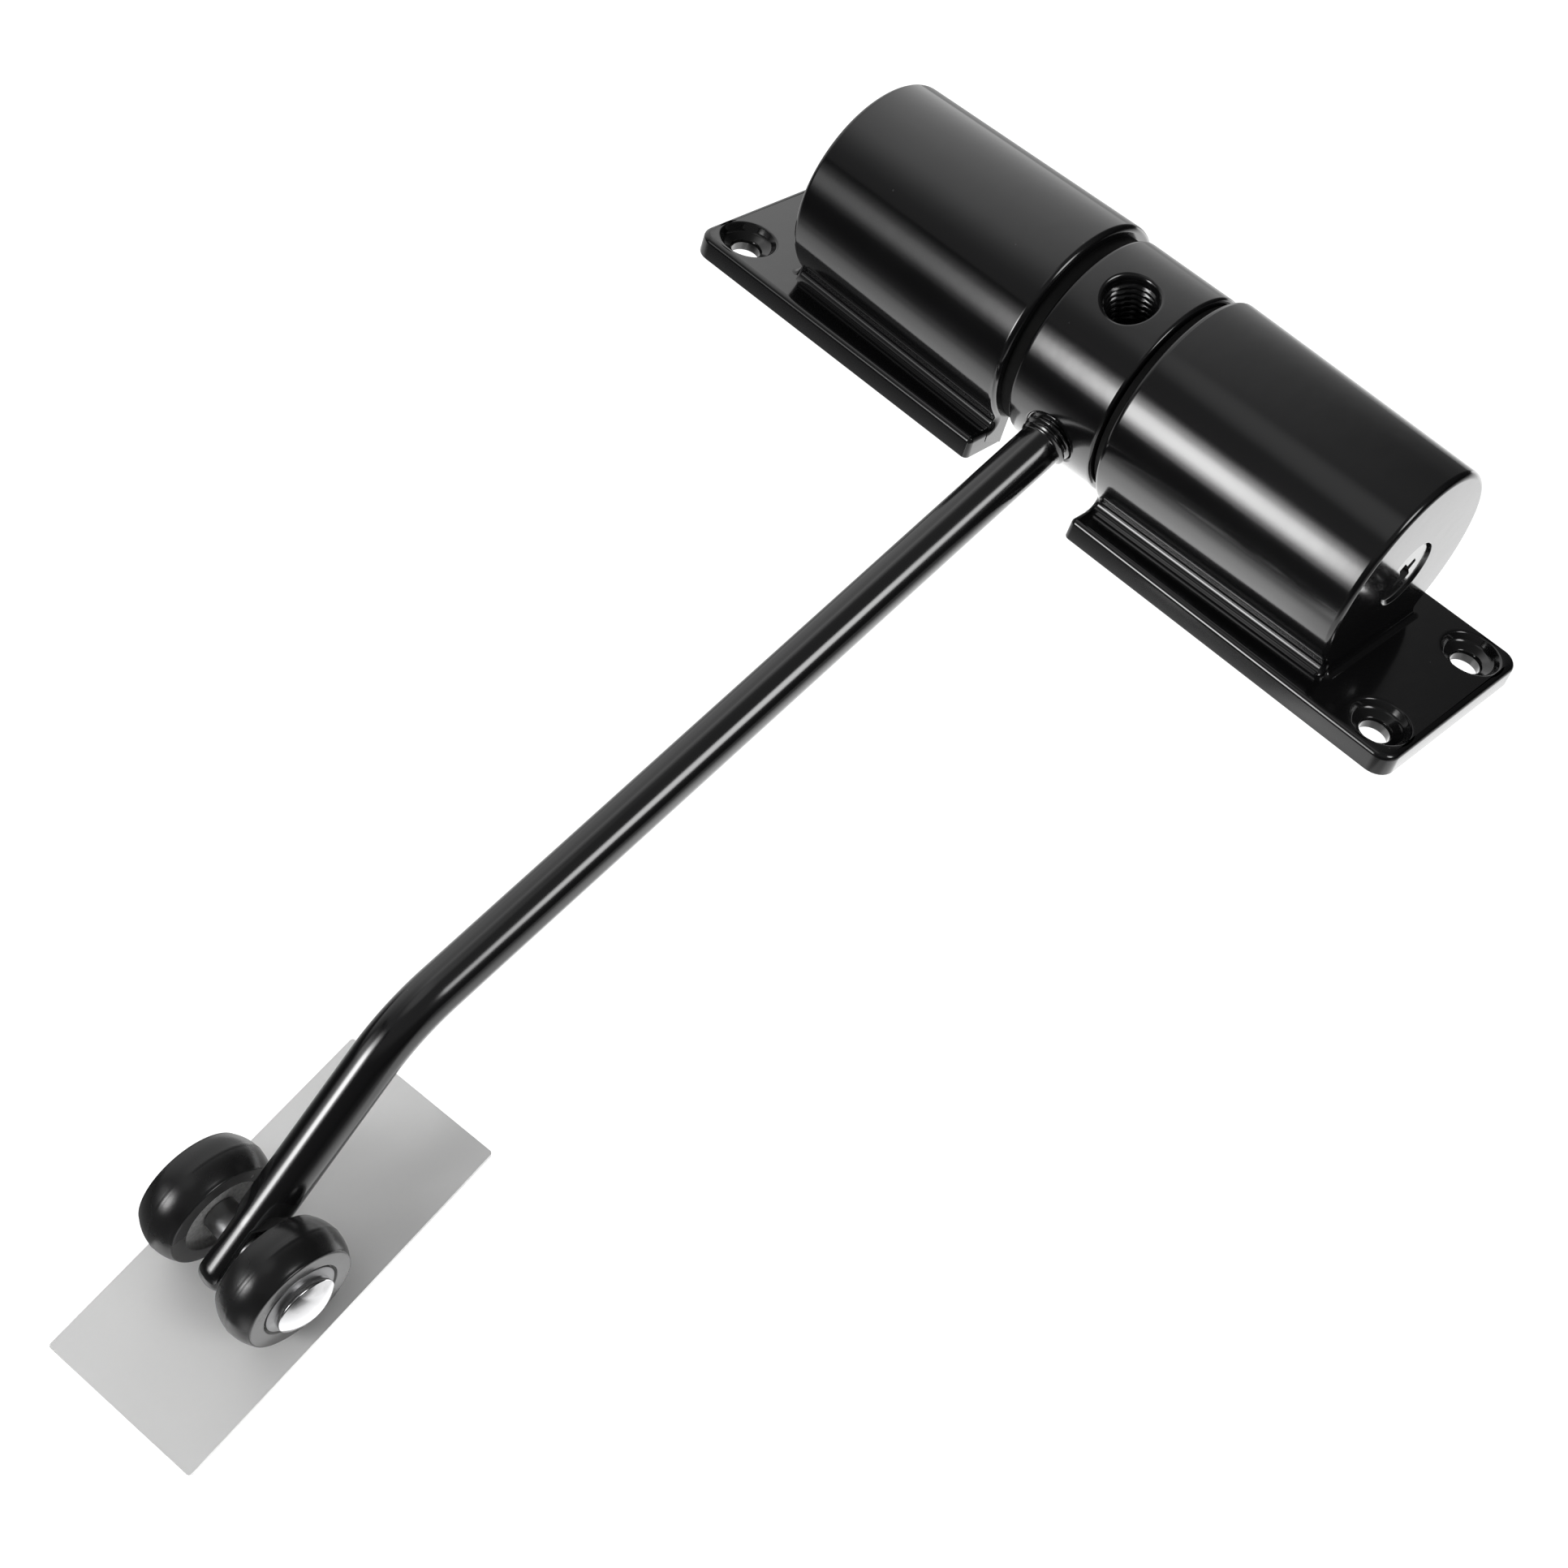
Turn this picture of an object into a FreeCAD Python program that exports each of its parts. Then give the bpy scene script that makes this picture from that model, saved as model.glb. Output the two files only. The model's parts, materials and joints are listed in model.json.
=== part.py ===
import FreeCAD, Part
import math
import os

# Surface spring closer: X runs along the barrels, -Y points to the arm's roller end,
# Z rises from the mounting face, origin in the middle of the screw pattern on that face.

# Clearances
run_gap = 0.3
shaft_gap = 0.05
seat_gap = 0.05

# How far a cutting shape runs past the material it cuts
overcut = 1.0

# Base plate
base_length = 168.0
base_width = 45.0
base_thickness = 4.5
base_draft = 0.5
base_corner = 3.6
base_edge_round = 0.8
hole_end_margin = 7.1
hole_side_margin = 7.3
hole_radius = 2.8
hole_rim_radius = 5.7

# Barrels on the base
axis_height = 21.0
barrel_end_margin = 19.8
barrel_radius_gap = 21.6
barrel_radius_end = 20.6
barrel_rim_round = 1.2
flare_radius = 1.5
gap_half = 12.0
bridge_clearance = 1.1
notch_corner = 1.5

# Hollow inside each barrel, open to the mounting face
cavity_radius = 12.3
end_wall = 5.5

# Spindle and its end screws
spindle_radius = 4.5
screw_shank_radius = 2.5
screw_head_radius = 6.3
screw_reach = 12.0
driver_width = 1.3
driver_reach = 3.1
driver_depth = 1.6
driver_turn = 45.0

# Hub
hub_radius = 20.5
hub_offset = 0.3
hub_width = 19.6
hub_edge_round = 0.8
journal_radius = 11.4
journal_length = 6.0
socket_radius = 5.0
socket_chamfer = 0.95
socket_floor_radius = 8.2
socket_count = 4

# Bushes in the hub
bush_wall = 2.0
bush_length = 11.0
bush_flange = 1.2
bush_flange_rise = 0.5

# Spacer rings beside the hub
ring_outer_radius = 19.4

# Torsion springs and their anchor plates
wire_radius = 1.6
coil_radius = 9.1
coil_pitch = 4.4
wire_sides = 8
coil_steps = 16
tang_length = 2.6
anchor_thickness = 3.0
anchor_foot = 5.0

# Arm
arm_angle = 23.97
tip_angle = 52.9
rod_radius = 4.25
thread_radius = 4.95
thread_show = 3.0
thread_root = 9.0
arm_run = 169.8
bend_radius = 16.6
tip_run = 42.0
blade_thickness = 4.6
blade_length = 3.3
blade_overhang = 6.0
shoulder_radius = 2.5

# Rollers and their axle
roller_radius = 11.7
roller_face_radius = 10.2
roller_inner_face = 5.6
roller_width = 9.1
roller_recess_radius = 6.8
roller_recess_depth = 1.2
axle_radius = 2.4
washer_thickness = 0.8
washer_radius = 6.2
rivet_head_radius = 5.4
rivet_head_height = 1.9
spacer_radius = 3.2

# Loose wear plate
plate_width = 34.0
plate_length = 72.0
plate_thickness = 0.8
plate_corner = 0.6
plate_tilt = -20.0
plate_turn = 5.5
plate_slide_x = -0.3
plate_slide_up = 3.5

# Derived places
barrel_end = base_length / 2 - barrel_end_margin
hole_x = base_length / 2 - hole_end_margin
hole_y = base_width / 2 - hole_side_margin
cavity_end = barrel_end - end_wall
hub_left = hub_offset - hub_width / 2
hub_right = hub_offset + hub_width / 2
journal_reach = gap_half + journal_length
bush_outer_radius = spindle_radius + shaft_gap + bush_wall
roller_outer_face = roller_inner_face + roller_width
web_inner = roller_inner_face + roller_recess_depth
web_outer = roller_outer_face - roller_recess_depth
rivet_base = web_outer + run_gap + washer_thickness
down = math.radians(arm_angle)
tip_down = math.radians(tip_angle)


def vec(x, y, z):
    return FreeCAD.Vector(x, y, z)


X_AXIS = vec(1, 0, 0)
Y_AXIS = vec(0, 1, 0)
Z_AXIS = vec(0, 0, 1)
HUB_CENTRE = vec(hub_offset, 0, axis_height)


def rod_x(radius, x_from, x_to, y=0.0, z=axis_height):
    return Part.makeCylinder(radius, x_to - x_from, vec(x_from, y, z), X_AXIS)


def tube_x(outer, inner, x_from, x_to, y=0.0, z=axis_height):
    bore = rod_x(inner, x_from - overcut, x_to + overcut, y, z)
    return rod_x(outer, x_from, x_to, y, z).cut(bore)


def closed_face(edges):
    return Part.Face(Part.Wire(edges))


def mirrored_x(shape):
    return shape.mirror(vec(0, 0, 0), X_AXIS)


def arc_through(a, b, c):
    return Part.Arc(a, b, c).toShape()


def line(a, b):
    return Part.LineSegment(a, b).toShape()


# Base plate with rounded corners, side draft and a softened top edge
def rounded_outline(half_x, half_y, radius, z):
    cut = radius * (1 - math.sqrt(0.5))
    edges = []
    corners = [(1, 1), (-1, 1), (-1, -1), (1, -1)]
    for i, (sx, sy) in enumerate(corners):
        nx, ny = corners[(i + 1) % len(corners)]
        flat_x = vec(sx * (half_x - radius), sy * half_y, z)
        flat_y = vec(sx * half_x, sy * (half_y - radius), z)
        mid = vec(sx * (half_x - cut), sy * (half_y - cut), z)
        if sx * sy > 0:
            edges.append(arc_through(flat_y, mid, flat_x))
            edges.append(line(flat_x, vec(nx * (half_x - radius), sy * half_y, z)))
        else:
            edges.append(arc_through(flat_x, mid, flat_y))
            edges.append(line(flat_y, vec(sx * half_x, ny * (half_y - radius), z)))
    return Part.Wire(edges)


def base_plate():
    low = rounded_outline(base_length / 2, base_width / 2, base_corner, 0.0)
    high = rounded_outline(base_length / 2 - base_draft, base_width / 2 - base_draft,
                           base_corner, base_thickness)
    plate = Part.makeLoft([low, high], True, True)
    rim = [e for e in plate.Edges
           if all(abs(v.Point.z - base_thickness) < 1e-6 for v in e.Vertexes)]
    return plate.makeFillet(base_edge_round, rim)


# The foot of a barrel flares out to the plate with a small concave radius
def flare_reach(radius):
    drop = axis_height - base_thickness - flare_radius
    return math.sqrt((radius + flare_radius) ** 2 - drop ** 2)


def foot_profile(x, radius):
    drop = axis_height - base_thickness - flare_radius
    centre_y = flare_reach(radius)
    centre_z = base_thickness + flare_radius
    share = radius / (radius + flare_radius)
    touch_y = centre_y * share
    touch_z = axis_height - drop * share
    start = math.atan2(touch_z - centre_z, touch_y - centre_y)
    middle = (start + 1.5 * math.pi) / 2
    mid_y = centre_y + flare_radius * math.cos(middle)
    mid_z = centre_z + flare_radius * math.sin(middle)
    sunk = base_thickness / 2
    right = arc_through(vec(x, centre_y, base_thickness), vec(x, mid_y, mid_z),
                        vec(x, touch_y, touch_z))
    left = arc_through(vec(x, -touch_y, touch_z), vec(x, -mid_y, mid_z),
                       vec(x, -centre_y, base_thickness))
    return Part.Wire([
        line(vec(x, -centre_y, sunk), vec(x, centre_y, sunk)),
        line(vec(x, centre_y, sunk), vec(x, centre_y, base_thickness)),
        right,
        line(vec(x, touch_y, touch_z), vec(x, -touch_y, touch_z)),
        left,
        line(vec(x, -centre_y, base_thickness), vec(x, -centre_y, sunk))])


# The end face runs into the plate with the same radius, which turns the corner to the flare
def end_foot():
    half = flare_reach(barrel_radius_end - barrel_rim_round / 2) - flare_radius
    ease = flare_radius * (1 - math.sqrt(0.5))

    def place(out, up):
        return vec(barrel_end + out, -half, base_thickness + up)

    section = closed_face([
        line(place(0, 0), place(flare_radius, 0)),
        arc_through(place(flare_radius, 0), place(ease, ease), place(0, flare_radius)),
        line(place(0, flare_radius), place(0, 0))])
    corner = section.revolve(place(0, 0), Z_AXIS, -90)
    strip = section.extrude(vec(0, 2 * half, 0))
    return strip.fuse([corner, corner.mirror(vec(0, 0, 0), Y_AXIS)])


def barrel():
    length = barrel_end - gap_half
    drum = Part.makeCone(barrel_radius_gap, barrel_radius_end, length,
                         vec(gap_half, 0, axis_height), X_AXIS)
    rims = [e for e in drum.Edges if e.Closed and e.Length > barrel_radius_end]
    drum = drum.makeFillet(barrel_rim_round, rims)
    foot = Part.makeLoft([foot_profile(gap_half, barrel_radius_gap - barrel_rim_round / 2),
                          foot_profile(barrel_end, barrel_radius_end - barrel_rim_round / 2)],
                         True, True)
    below = Part.makeBox(length + 2 * overcut, base_width, base_width,
                         vec(gap_half - overcut, -base_width / 2, -base_width))
    return drum.fuse([foot, end_foot()]).cut(below)


def spring_cavity():
    start = gap_half - overcut
    room = rod_x(cavity_radius, start, cavity_end)
    slot = Part.makeBox(cavity_end - start, 2 * cavity_radius, axis_height + overcut,
                        vec(start, -cavity_radius, -overcut))
    return room.fuse(slot)


def end_screw_seat():
    sink = screw_head_radius - screw_shank_radius
    shank = screw_shank_radius + seat_gap
    hole = rod_x(shank, cavity_end - overcut, barrel_end + overcut)
    cone = Part.makeCone(shank, screw_head_radius + seat_gap, sink,
                         vec(barrel_end - sink, 0, axis_height), X_AXIS)
    return hole.fuse(cone)


def fixing_hole(x, y):
    depth = hole_rim_radius - hole_radius
    drill = Part.makeCylinder(hole_radius, base_thickness + 2 * overcut, vec(x, y, -overcut), Z_AXIS)
    sink = Part.makeCone(hole_radius, hole_rim_radius, depth,
                         vec(x, y, base_thickness - depth), Z_AXIS)
    mouth = Part.makeCylinder(hole_rim_radius, overcut, vec(x, y, base_thickness), Z_AXIS)
    return drill.fuse([sink, mouth])


# The front of the plate is open under the hub so that the arm can swing through
def hub_notch():
    drop = axis_height - base_thickness
    back = math.sqrt((hub_radius + bridge_clearance) ** 2 - drop ** 2)
    front = base_width / 2 + overcut
    block = Part.makeBox(2 * gap_half, front + back, base_thickness + 2 * overcut,
                         vec(-gap_half, -front, -overcut))
    corners = [e for e in block.Edges
               if all(abs(v.Point.y - back) < 1e-6 for v in e.Vertexes)
               and abs(e.Vertexes[0].Point.x - e.Vertexes[1].Point.x) < 1e-6]
    return block.makeFillet(notch_corner, corners)


def base_casting():
    right = barrel()
    body = base_plate().fuse([right, mirrored_x(right)])
    cuts = [hub_notch()]
    for piece in (spring_cavity(), end_screw_seat()):
        cuts.append(piece)
        cuts.append(mirrored_x(piece))
    for sx in (-1, 1):
        for sy in (-1, 1):
            cuts.append(fixing_hole(sx * hole_x, sy * hole_y))
    return body.cut(cuts).removeSplitter()


# Spindle tapped at both ends, and the two countersunk screws that hold it
def spindle():
    bar = rod_x(spindle_radius, -cavity_end, cavity_end)
    tapped = rod_x(screw_shank_radius + seat_gap, cavity_end - screw_reach - overcut,
                   cavity_end + overcut)
    return bar.cut([tapped, mirrored_x(tapped)])


def end_screw():
    sink = screw_head_radius - screw_shank_radius
    head = Part.makeCone(screw_shank_radius, screw_head_radius, sink,
                         vec(barrel_end - sink, 0, axis_height), X_AXIS)
    shank = rod_x(screw_shank_radius, cavity_end - screw_reach, barrel_end - sink)
    screw = head.fuse(shank)
    for turn in (0, 90):
        slot = Part.makeBox(driver_depth + overcut, 2 * driver_reach, driver_width,
                            vec(barrel_end - driver_depth, -driver_reach,
                                axis_height - driver_width / 2))
        slot.rotate(vec(0, 0, axis_height), X_AXIS, turn + driver_turn)
        screw = screw.cut(slot)
    return screw


def end_screws():
    right = end_screw()
    return Part.makeCompound([right, mirrored_x(right)])


# Hub: a drum with a journal each side, four radial threaded sockets and the bush bore
def radial(angle):
    return vec(0, -math.sin(angle), math.cos(angle))


def arm_socket(angle):
    out = radial(angle)
    depth = hub_radius - socket_floor_radius
    bore = Part.makeCylinder(socket_radius, depth + overcut,
                             HUB_CENTRE + out * socket_floor_radius, out)
    mouth_radius = socket_radius + socket_chamfer
    flat = math.sqrt(hub_radius ** 2 - mouth_radius ** 2)
    rise = hub_radius - flat + socket_chamfer
    chamfer = Part.makeCone(socket_radius, socket_radius + rise, rise,
                            HUB_CENTRE + out * (flat - socket_chamfer), out)
    return bore.fuse(chamfer)


def tang_hole(side):
    radius = wire_radius + run_gap
    depth = tang_length + 2 * run_gap
    hole = rod_x(radius, journal_reach - depth, journal_reach + overcut, coil_radius)
    return hole if side > 0 else mirrored_x(hole)


def hub():
    drum = rod_x(hub_radius, hub_left, hub_right)
    drum = drum.makeFillet(hub_edge_round, [e for e in drum.Edges if e.Closed])
    journals = rod_x(journal_radius, -journal_reach, journal_reach)
    bore = rod_x(bush_outer_radius, -journal_reach - overcut, journal_reach + overcut)
    cuts = [bore, tang_hole(1), tang_hole(-1)]
    for i in range(socket_count):
        cuts.append(arm_socket(down + math.pi / 2 - i * 2 * math.pi / socket_count))
    return drum.fuse(journals).cut(cuts)


def bush(side):
    start = journal_reach - bush_length
    finish = journal_reach + bush_flange
    sleeve = rod_x(bush_outer_radius, start, journal_reach)
    flange = rod_x(bush_outer_radius + bush_flange_rise, journal_reach, finish)
    bore = rod_x(spindle_radius + shaft_gap, start - overcut, finish + overcut)
    bored = sleeve.fuse(flange).cut(bore)
    return bored if side > 0 else mirrored_x(bored)


# Rings that fill the gap between the hub and the barrels
def spacer_ring(side):
    inner = journal_radius + run_gap
    if side > 0:
        return tube_x(ring_outer_radius, inner, hub_right + run_gap, gap_half)
    return tube_x(ring_outer_radius, inner, -gap_half, hub_left - run_gap)


# Anchor plates keyed in the cavity, each holding the outer end of a spring
def anchor(side):
    fit = cavity_radius - seat_gap
    start = cavity_end - anchor_thickness
    plate = rod_x(fit, start, cavity_end)
    key = Part.makeBox(anchor_thickness, 2 * fit, axis_height - anchor_foot,
                       vec(start, -fit, anchor_foot))
    plate = plate.fuse(key)
    from_x, to_x = start - overcut, cavity_end + overcut
    spindle_hole = rod_x(spindle_radius + seat_gap, from_x, to_x)
    leg_hole = rod_x(wire_radius + seat_gap, from_x, to_x, coil_radius)
    plate = plate.cut([spindle_hole, leg_hole]).removeSplitter()
    return plate if side > 0 else mirrored_x(plate)


# Spring wire swept along short straight runs: an axial leg, the coil, an axial leg
def spring(side):
    first = journal_reach + run_gap + wire_radius
    last = cavity_end - anchor_thickness - run_gap - wire_radius
    turns = max(1, round((last - first) / coil_pitch))
    steps = turns * coil_steps
    path = [vec(journal_reach - tang_length, coil_radius, axis_height)]
    for i in range(steps + 1):
        turn = 2 * math.pi * i / coil_steps
        path.append(vec(first + (last - first) * i / steps, coil_radius * math.cos(turn),
                        axis_height + coil_radius * math.sin(turn)))
    path.append(vec(cavity_end - run_gap, coil_radius, axis_height))
    ring = []
    for i in range(wire_sides):
        turn = 2 * math.pi * (i + 0.5) / wire_sides
        ring.append(path[0] + vec(0, wire_radius * math.cos(turn), wire_radius * math.sin(turn)))
    section = Part.makePolygon(ring + [ring[0]])
    mitred = 1
    wire = Part.makePolygon(path).makePipeShell([section], True, False, mitred)
    return wire if side > 0 else mirrored_x(wire)


# Arm: threaded root, long run, bend, short run, and a blade with a flat on each side
def along(angle):
    return vec(0, -math.cos(angle), -math.sin(angle))


def bend_start():
    return HUB_CENTRE + along(down) * arm_run


def bend_centre():
    return bend_start() + vec(0, math.sin(down), -math.cos(down)) * bend_radius


def bend_finish():
    return bend_centre() - vec(0, math.sin(tip_down), -math.cos(tip_down)) * bend_radius


def axle_centre():
    return bend_finish() + along(tip_down) * tip_run


def arm_bend():
    disc = Part.Face(Part.Wire(Part.makeCircle(rod_radius, bend_start(), along(down))))
    return disc.revolve(bend_centre(), X_AXIS, tip_angle - arm_angle)


def tip_place(reach, x):
    return axle_centre() + along(tip_down) * reach + X_AXIS * x


# What is pressed away on one side of the tip, with a round shoulder up to the rod
def blade_relief():
    flat = blade_thickness / 2
    top = flat + shoulder_radius + rod_radius
    back = -blade_length - shoulder_radius
    front = blade_overhang + rod_radius + overcut
    ease = shoulder_radius * math.sqrt(0.5)
    shoulder = arc_through(tip_place(back, flat + shoulder_radius),
                           tip_place(-blade_length - ease, flat + shoulder_radius - ease),
                           tip_place(-blade_length, flat))
    corners = [tip_place(-blade_length, flat), tip_place(front, flat), tip_place(front, top),
               tip_place(back, top), tip_place(back, flat + shoulder_radius)]
    sides = [line(a, b) for a, b in zip(corners, corners[1:])]
    half = rod_radius + overcut
    across = vec(0, math.sin(tip_down), -math.cos(tip_down)) * half
    relief = closed_face([shoulder] + sides)
    relief.translate(across * -1)
    return relief.extrude(across * 2)


def tip():
    bar = Part.makeCylinder(rod_radius, tip_run + blade_overhang, bend_finish(), along(tip_down))
    bar = bar.fuse(Part.makeSphere(rod_radius, tip_place(blade_overhang, 0)))
    relief = blade_relief()
    return bar.cut([relief, relief.mirror(HUB_CENTRE, X_AXIS)])


def arm():
    root_end = hub_radius + thread_show
    root = Part.makeCylinder(thread_radius, root_end - thread_root,
                             HUB_CENTRE + along(down) * thread_root, along(down))
    root = root.makeChamfer(thread_radius - rod_radius, [e for e in root.Edges if e.Closed])
    run = Part.makeCylinder(rod_radius, arm_run - root_end + overcut,
                            HUB_CENTRE + along(down) * (root_end - overcut), along(down))
    body = run.fuse([root, arm_bend(), tip()])
    c = axle_centre()
    return body.cut(rod_x(axle_radius, c.x - rod_radius, c.x + rod_radius, c.y, c.z))


# Rollers, axle, washers and spacers at the arm's eye
def at_axle(shape):
    shape.translate(axle_centre())
    return shape


def turned(edges):
    return closed_face(edges).revolve(vec(0, 0, 0), X_AXIS, 360)


def roller(side):
    bore = axle_radius + shaft_gap
    a, b = roller_inner_face, roller_outer_face
    middle = (a + b) / 2
    edges = [
        line(vec(web_inner, bore, 0), vec(web_inner, roller_recess_radius, 0)),
        line(vec(web_inner, roller_recess_radius, 0), vec(a, roller_recess_radius, 0)),
        line(vec(a, roller_recess_radius, 0), vec(a, roller_face_radius, 0)),
        arc_through(vec(a, roller_face_radius, 0), vec(middle, roller_radius, 0),
                    vec(b, roller_face_radius, 0)),
        line(vec(b, roller_face_radius, 0), vec(b, roller_recess_radius, 0)),
        line(vec(b, roller_recess_radius, 0), vec(web_outer, roller_recess_radius, 0)),
        line(vec(web_outer, roller_recess_radius, 0), vec(web_outer, bore, 0)),
        line(vec(web_outer, bore, 0), vec(web_inner, bore, 0))]
    wheel = turned(edges)
    return at_axle(wheel if side > 0 else mirrored_x(wheel))


def roller_axle():
    top = rivet_base + rivet_head_height
    ball = (rivet_head_radius ** 2 + rivet_head_height ** 2) / (2 * rivet_head_height)
    turn = math.asin(rivet_head_radius / ball) / 2
    half = [
        line(vec(0, 0, 0), vec(0, axle_radius, 0)),
        line(vec(0, axle_radius, 0), vec(rivet_base, axle_radius, 0)),
        line(vec(rivet_base, axle_radius, 0), vec(rivet_base, rivet_head_radius, 0)),
        arc_through(vec(rivet_base, rivet_head_radius, 0),
                    vec(top - ball * (1 - math.cos(turn)), ball * math.sin(turn), 0),
                    vec(top, 0, 0)),
        line(vec(top, 0, 0), vec(0, 0, 0))]
    pin = turned(half)
    return at_axle(pin.fuse(mirrored_x(pin)).removeSplitter())


def axle_washers():
    washer = tube_x(washer_radius, axle_radius, web_outer + run_gap, rivet_base, 0, 0)
    return at_axle(Part.makeCompound([washer, mirrored_x(washer)]))


def roller_spacer(side):
    collar = tube_x(spacer_radius, axle_radius, blade_thickness / 2, web_inner - run_gap, 0, 0)
    return at_axle(collar if side > 0 else mirrored_x(collar))


# Loose plate under the rollers, stuck to the door leaf in use
def wear_plate():
    sheet = Part.makeBox(plate_width, plate_length, plate_thickness,
                         vec(-plate_width / 2, -plate_length / 2, -plate_thickness))
    upright = [e for e in sheet.Edges
               if abs(e.Vertexes[0].Point.z - e.Vertexes[1].Point.z) > plate_thickness / 2]
    sheet = sheet.makeFillet(plate_corner, upright)
    sheet.rotate(vec(0, 0, 0), Z_AXIS, plate_turn)
    sheet.translate(vec(plate_slide_x, plate_slide_up, -(roller_radius + run_gap)))
    sheet.rotate(vec(0, 0, 0), X_AXIS, -plate_tilt)
    return at_axle(sheet)


NODES = {
    "base_casting": base_casting,
    "spindle": spindle,
    "end_screws": end_screws,
    "anchor_left": lambda: anchor(-1),
    "anchor_right": lambda: anchor(1),
    "spring_left": lambda: spring(-1),
    "spring_right": lambda: spring(1),
    "spacer_ring_left": lambda: spacer_ring(-1),
    "spacer_ring_right": lambda: spacer_ring(1),
    "hub": hub,
    "bush_left": lambda: bush(-1),
    "bush_right": lambda: bush(1),
    "arm": arm,
    "roller_axle": roller_axle,
    "axle_washers": axle_washers,
    "roller_spacer_near": lambda: roller_spacer(1),
    "roller_spacer_far": lambda: roller_spacer(-1),
    "roller_near": lambda: roller(1),
    "roller_far": lambda: roller(-1),
    "wear_plate": wear_plate,
}

os.makedirs("parts", exist_ok=True)
for node, make in NODES.items():
    shape = make()
    shape.exportStep("parts/" + node + ".step")
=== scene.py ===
import json
import math

import bmesh
import bpy
from mathutils import Matrix, Vector


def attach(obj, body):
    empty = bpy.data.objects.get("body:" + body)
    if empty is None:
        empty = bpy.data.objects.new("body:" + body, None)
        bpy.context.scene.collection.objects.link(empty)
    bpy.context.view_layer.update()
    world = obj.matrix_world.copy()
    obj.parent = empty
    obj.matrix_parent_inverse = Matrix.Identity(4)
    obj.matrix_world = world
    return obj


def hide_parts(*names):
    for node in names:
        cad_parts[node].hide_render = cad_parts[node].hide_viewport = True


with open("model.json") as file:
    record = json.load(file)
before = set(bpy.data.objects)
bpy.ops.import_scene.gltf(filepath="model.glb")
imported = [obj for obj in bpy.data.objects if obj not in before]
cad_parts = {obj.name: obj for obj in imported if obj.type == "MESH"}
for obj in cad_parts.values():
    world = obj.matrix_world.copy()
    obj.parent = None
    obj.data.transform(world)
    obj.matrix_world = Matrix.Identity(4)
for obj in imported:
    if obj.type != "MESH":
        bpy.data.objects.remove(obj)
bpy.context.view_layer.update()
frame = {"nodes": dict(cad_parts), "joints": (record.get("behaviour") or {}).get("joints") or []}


# Casting: one zinc die casting of base plate and two tapered spring barrels, dipped in thick
# gloss black paint that rounds its edges. It is held by four countersunk screws.
mm = 0.001
base_half_x = 84.0
base_half_y = 22.5
base_top = 4.5
base_draft = 0.12
base_edge_round = 1.1
base_lower_edge = 0.35
base_corner = 3.6
axis_height = 21.0
gap_half = 12.0
barrel_end = 64.2
barrel_radius_gap = 21.6
barrel_radius_end = 20.6
barrel_rim_round = 1.2
foot_flare = 1.5
foot_root = 0.4
cavity_radius = 12.25
cavity_end = 58.7
notch_back = 13.94
notch_round = 1.2
notch_hollow = 0.7
slot_round = 0.9
hole_x = 76.9
hole_y = 15.2
hole_radius = 2.8
hole_rim_radius = 5.7
screw_sink_radius = 6.55
screw_sink_depth = 3.8
screw_hole_radius = 2.6
paint_black = (0.0065, 0.0065, 0.007)


def arc_points(centre_a, centre_b, radius, start, finish, steps):
    points = []
    for i in range(steps + 1):
        turn = math.radians(start + (finish - start) * i / steps)
        points.append((centre_a + radius * math.cos(turn), centre_b + radius * math.sin(turn)))
    return points


def softened(corners, steps=5):
    """An open outline of (a, b, radius) corners with each inner corner rounded by its radius."""
    points = [corners[0][:2]]
    for before, here, after in zip(corners, corners[1:], corners[2:]):
        at = Vector(here[:2])
        into = (at - Vector(before[:2])).normalized()
        out = (Vector(after[:2]) - at).normalized()
        half = into.angle(out, 0.0) / 2
        if here[2] <= 0 or half < 1e-4:
            points.append(tuple(at))
            continue
        reach = here[2] * math.tan(half)
        first, last = at - into * reach, at + out * reach
        for i in range(steps + 1):
            share = i / steps
            near = first.lerp(at, share)
            far = at.lerp(last, share)
            points.append(tuple(near.lerp(far, share)))
    points.append(corners[-1][:2])
    return points


def add_rows(bm, rows, closed):
    """Quads between rows of points; a closed row joins its last point to its first."""
    made = [[bm.verts.new(point) for point in row] for row in rows]
    count = len(made[0])
    for low, high in zip(made, made[1:]):
        for i in range(count if closed else count - 1):
            j = (i + 1) % count
            bm.faces.new((low[i], low[j], high[j], high[i]))
    return made


def add_turned(bm, outline, centre, side=1, segments=144):
    """A solid turned about the X line through centre, from (x, radius) points."""
    rows = []
    for a, radius in outline:
        row = []
        for i in range(segments):
            turn = 2 * math.pi * i / segments
            row.append((centre[0] + side * a, centre[1] + radius * math.cos(turn),
                        centre[2] + radius * math.sin(turn)))
        rows.append(row)
    return add_rows(bm, rows, True)


def fill_between(bm, loops):
    """Flat triangles inside the first closed loop of vertices and outside the others."""
    edges = []
    for loop in loops:
        for i, vert in enumerate(loop):
            other = loop[(i + 1) % len(loop)]
            edges.append(bm.edges.get((vert, other)) or bm.edges.new((vert, other)))
    bmesh.ops.triangle_fill(bm, use_beauty=True, use_dissolve=False, edges=edges)


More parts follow.
